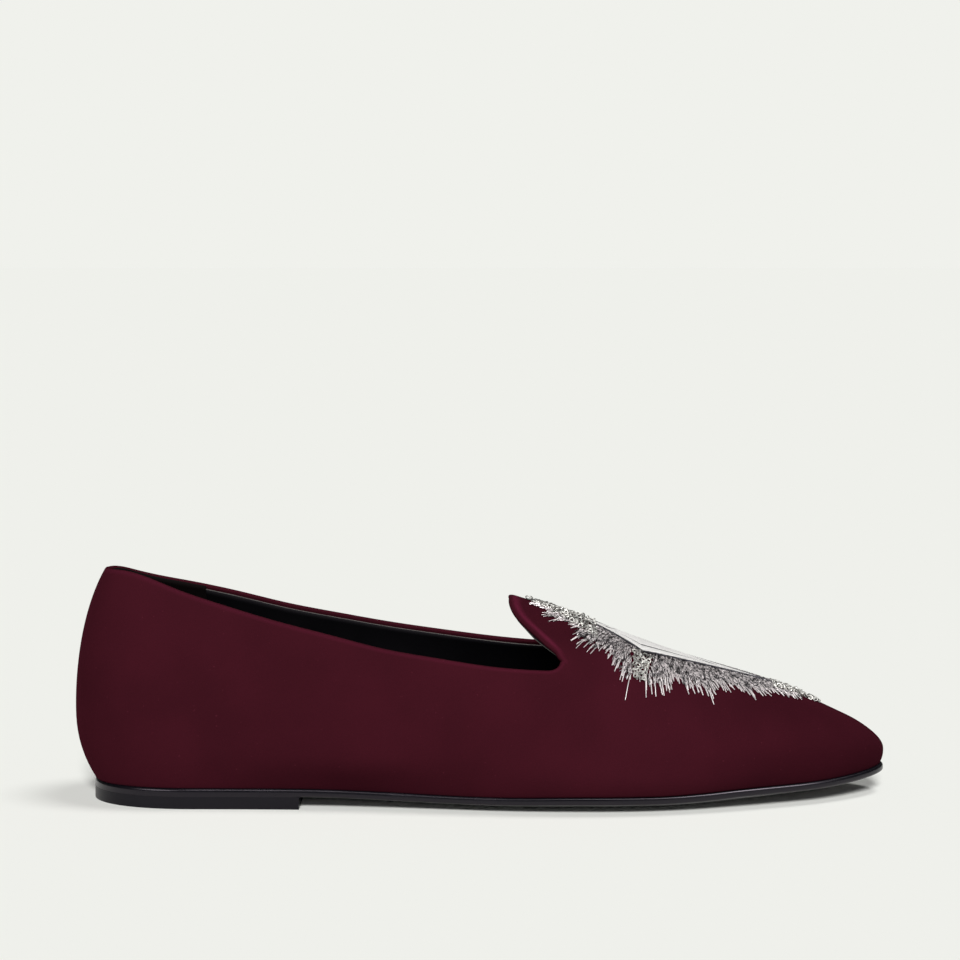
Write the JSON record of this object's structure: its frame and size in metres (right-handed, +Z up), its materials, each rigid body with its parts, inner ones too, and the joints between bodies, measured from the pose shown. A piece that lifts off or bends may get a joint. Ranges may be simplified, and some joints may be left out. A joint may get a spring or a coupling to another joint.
{
  "type": "slipper loafer",
  "caption": "Flat right slipper loafer with a low collar, a raised vamp tab, an embroidered lozenge on the vamp, a thin sole and a low heel, open at the top for the foot.",
  "frame": {"origin": "floor under the middle of the shoe's box", "axes": "+X to the toe, +Y to the medial side, +Z up"},
  "size_m": [0.2602, 0.0851, 0.0738],
  "materials": {
    "sole_leather": "dyed and waxed edge, satin",
    "heel_rubber": "satin",
    "upper_fabric": "fine short nap, matt with a soft sheen",
    "insole_leather": "smooth, semi-matt",
    "emblem_thread": "metal thread and white satin stitch"
  },
  "bodies": {
    "root": {"outsole": "sole_leather", "heel": "heel_rubber", "upper": "upper_fabric", "insole": "insole_leather", "emblem": "emblem_thread"}
  },
  "joints": []
}
